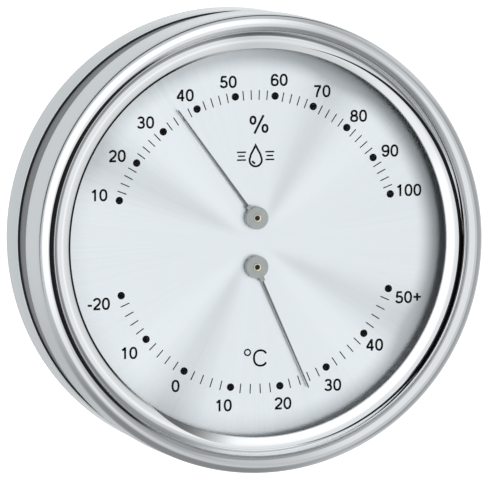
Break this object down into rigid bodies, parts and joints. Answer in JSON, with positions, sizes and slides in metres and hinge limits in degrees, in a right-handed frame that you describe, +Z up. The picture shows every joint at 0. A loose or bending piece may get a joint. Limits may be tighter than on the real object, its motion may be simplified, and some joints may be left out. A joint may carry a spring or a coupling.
{
  "type": "thermo-hygrometer",
  "caption": "Round wall-mounted thermo-hygrometer with a polished bezel, silver dial, upper humidity hand, lower temperature hand and a bayonet wall ring.",
  "frame": {"origin": "centre of the wall ring's rear face, on the case axis", "axes": "+Y into the wall, so the dial looks along -Y; +Z up; +X to the right as the dial is read"},
  "size_m": [0.1, 0.0307, 0.1],
  "materials": {
    "polished_chrome": "polished",
    "satin_steel": "satin",
    "wall_metal": "polished",
    "dial_silver": "sunburst brushed",
    "window_glass": "clear",
    "black_rubber": "matt",
    "spacer_grey": "satin",
    "movement_brass": "brushed",
    "bush_brass": "turned",
    "screw_steel": "turned",
    "cover_steel": "satin",
    "mesh_steel": "woven look",
    "hand_steel": "satin",
    "hub_grey": "satin",
    "arbor_steel": "turned",
    "humidity_strip": "coated strip",
    "bimetal_strip": "rolled"
  },
  "bodies": {
    "wall_mount": {"wall_ring": "wall_metal", "friction_ring": "black_rubber"},
    "case": {"case_drum": "satin_steel", "bayonet_pins": "screw_steel", "bezel_ring": "polished_chrome", "bezel_seal": "black_rubber", "glass": "window_glass", "glass_gasket": "black_rubber", "spacer_ring": "spacer_grey", "dial_plate": "dial_silver", "movement_pillars": "movement_brass", "movement_plate": "movement_brass", "plate_screws": "screw_steel", "humidity_front_bush": "bush_brass", "temperature_front_bush": "bush_brass", "regulator_clips": "screw_steel", "humidity_bridge": "movement_brass", "temperature_bridge": "movement_brass", "humidity_rear_bush": "bush_brass", "temperature_rear_bush": "bush_brass", "humidity_bridge_screws": "screw_steel", "temperature_bridge_screws": "screw_steel", "rear_cover": "cover_steel", "rear_cover_screws": "screw_steel", "vent_mesh": "mesh_steel", "cover_seal": "black_rubber"},
    "humidity_adjuster": {"humidity_regulator": "movement_brass", "humidity_stud": "bush_brass", "humidity_coil": "humidity_strip"},
    "humidity_hand": {"humidity_pointer": "hand_steel", "humidity_hub": "hub_grey", "humidity_hub_collet": "bush_brass", "humidity_arbor": "arbor_steel", "humidity_coil_collet": "bush_brass"},
    "temperature_adjuster": {"temperature_regulator": "movement_brass", "temperature_stud": "bush_brass", "temperature_coil": "bimetal_strip"},
    "temperature_hand": {"temperature_pointer": "hand_steel", "temperature_hub": "hub_grey", "temperature_hub_collet": "bush_brass", "temperature_arbor": "arbor_steel", "temperature_coil_collet": "bush_brass"}
  },
  "joints": [
    {"name": "case_twist", "type": "hinge", "parent": "wall_mount", "child": "case", "pos_m": [0, 0, 0], "axis": [0, -1, 0], "range_deg": [0, 20]},
    {"name": "humidity_adjust", "type": "hinge", "parent": "case", "child": "humidity_adjuster", "pos_m": [0, -0.02475, 0.00535], "axis": [0, 1, 0], "range_deg": [-12, 12]},
    {"name": "humidity_reading", "type": "hinge", "parent": "humidity_adjuster", "child": "humidity_hand", "pos_m": [0, -0.02475, 0.00535], "axis": [0, 1, 0], "range_deg": [-50, 112], "stiffness_Nm_per_rad": 0.0002, "deforming": ["humidity_coil"]},
    {"name": "temperature_adjust", "type": "hinge", "parent": "case", "child": "temperature_adjuster", "pos_m": [0, -0.02475, -0.00535], "axis": [0, -1, 0], "range_deg": [-12, 12]},
    {"name": "temperature_reading", "type": "hinge", "parent": "temperature_adjuster", "child": "temperature_hand", "pos_m": [0, -0.02475, -0.00535], "axis": [0, -1, 0], "range_deg": [-98, 58], "stiffness_Nm_per_rad": 0.0002, "deforming": ["temperature_coil"]}
  ]
}
